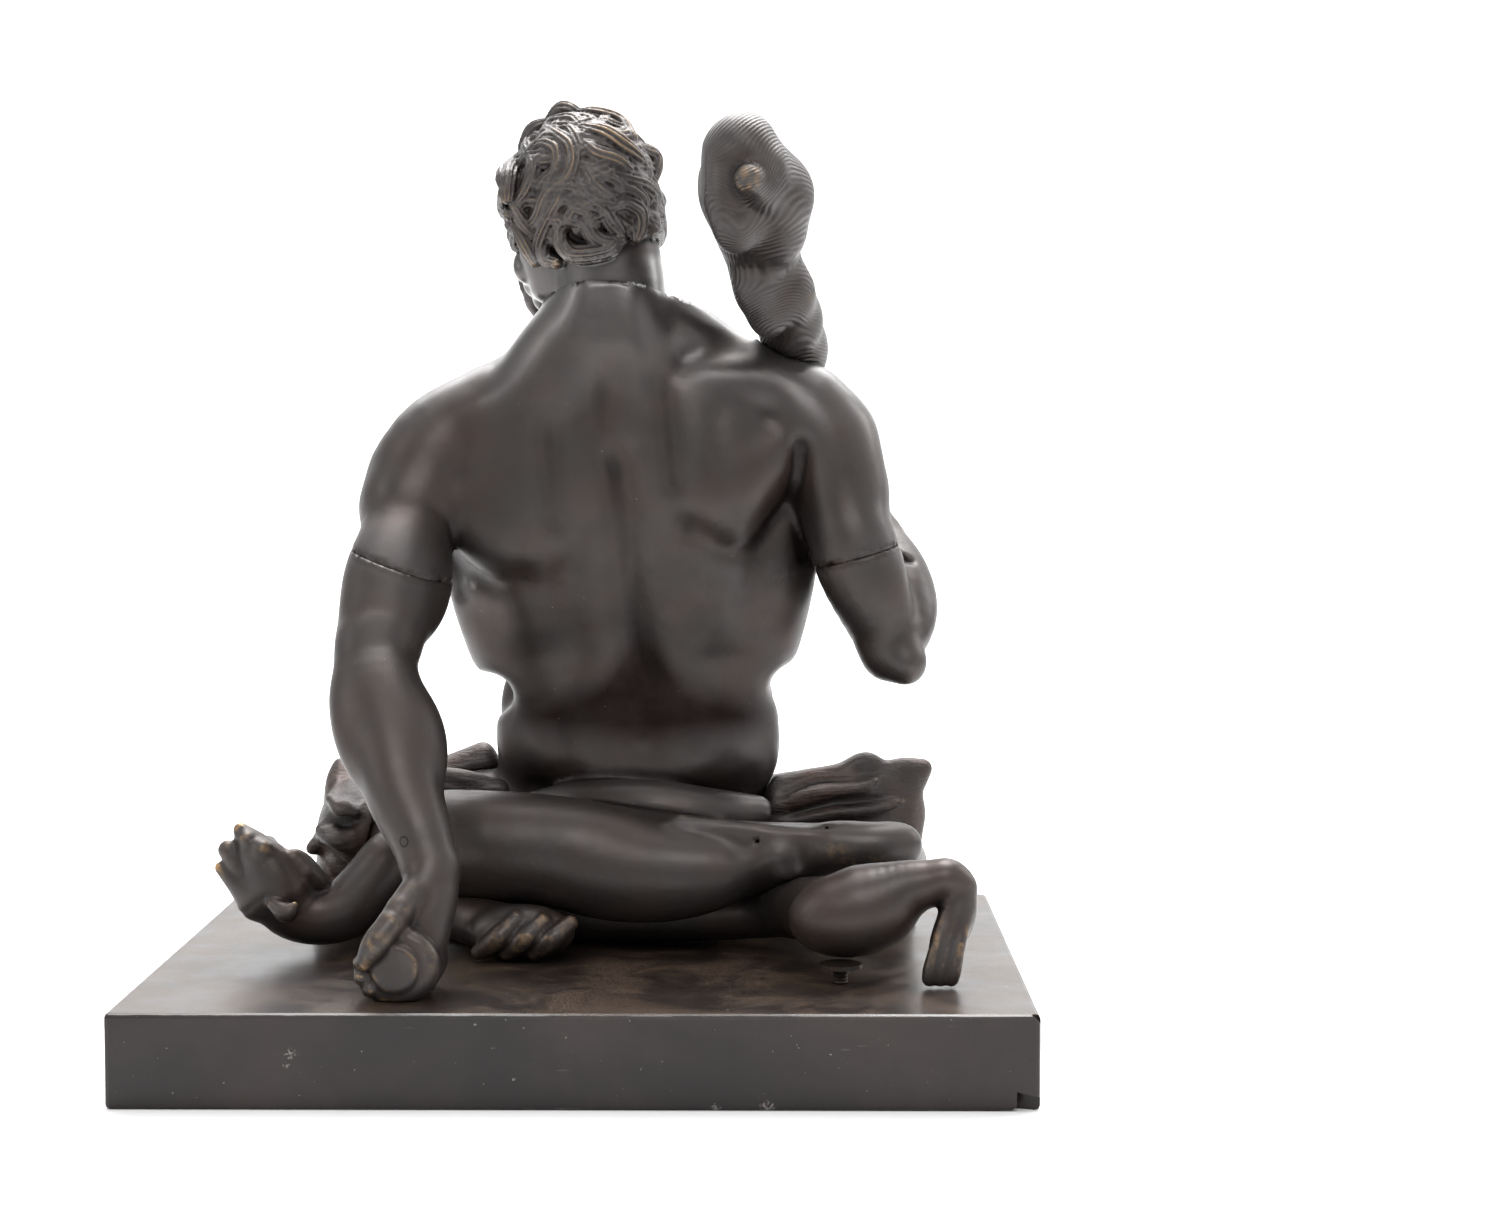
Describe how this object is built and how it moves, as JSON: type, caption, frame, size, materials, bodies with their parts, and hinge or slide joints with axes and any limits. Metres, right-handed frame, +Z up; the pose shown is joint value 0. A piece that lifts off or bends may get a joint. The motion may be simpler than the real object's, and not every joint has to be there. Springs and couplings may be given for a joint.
{
  "type": "seated bronze hercules statue",
  "caption": "Bronze hero seen from behind, seated on a beast with a club over his shoulder, on a rectangular slab of black marble",
  "frame": {"origin": "middle of the slab's underside", "axes": "+Z up, +X to the right when looking at the figure's back, +Y the way the figure faces"},
  "size_m": [0.47, 0.35, 0.5255],
  "materials": {
    "marble": "honed black marble, dusty, with pale scratches",
    "body_bronze": "dark brown patina, waxed, with red-brown shadows",
    "hair_bronze": "dark brown patina with golden wear on the locks",
    "club_bronze": "dark patina over chased bark, golden on the knots",
    "beast_bronze": "dark brown patina with golden wear on the raised edges",
    "hide_bronze": "dull dark patina over chased hair",
    "stud_steel": "dull steel with brown rust"
  },
  "bodies": {
    "root": {"marble_base": "marble", "torso": "body_bronze", "head": "hair_bronze", "left_arm": "body_bronze", "right_arm": "body_bronze", "club": "club_bronze", "hydra": "beast_bronze", "lion_skin": "hide_bronze", "fixing_stud": "stud_steel"}
  },
  "joints": []
}
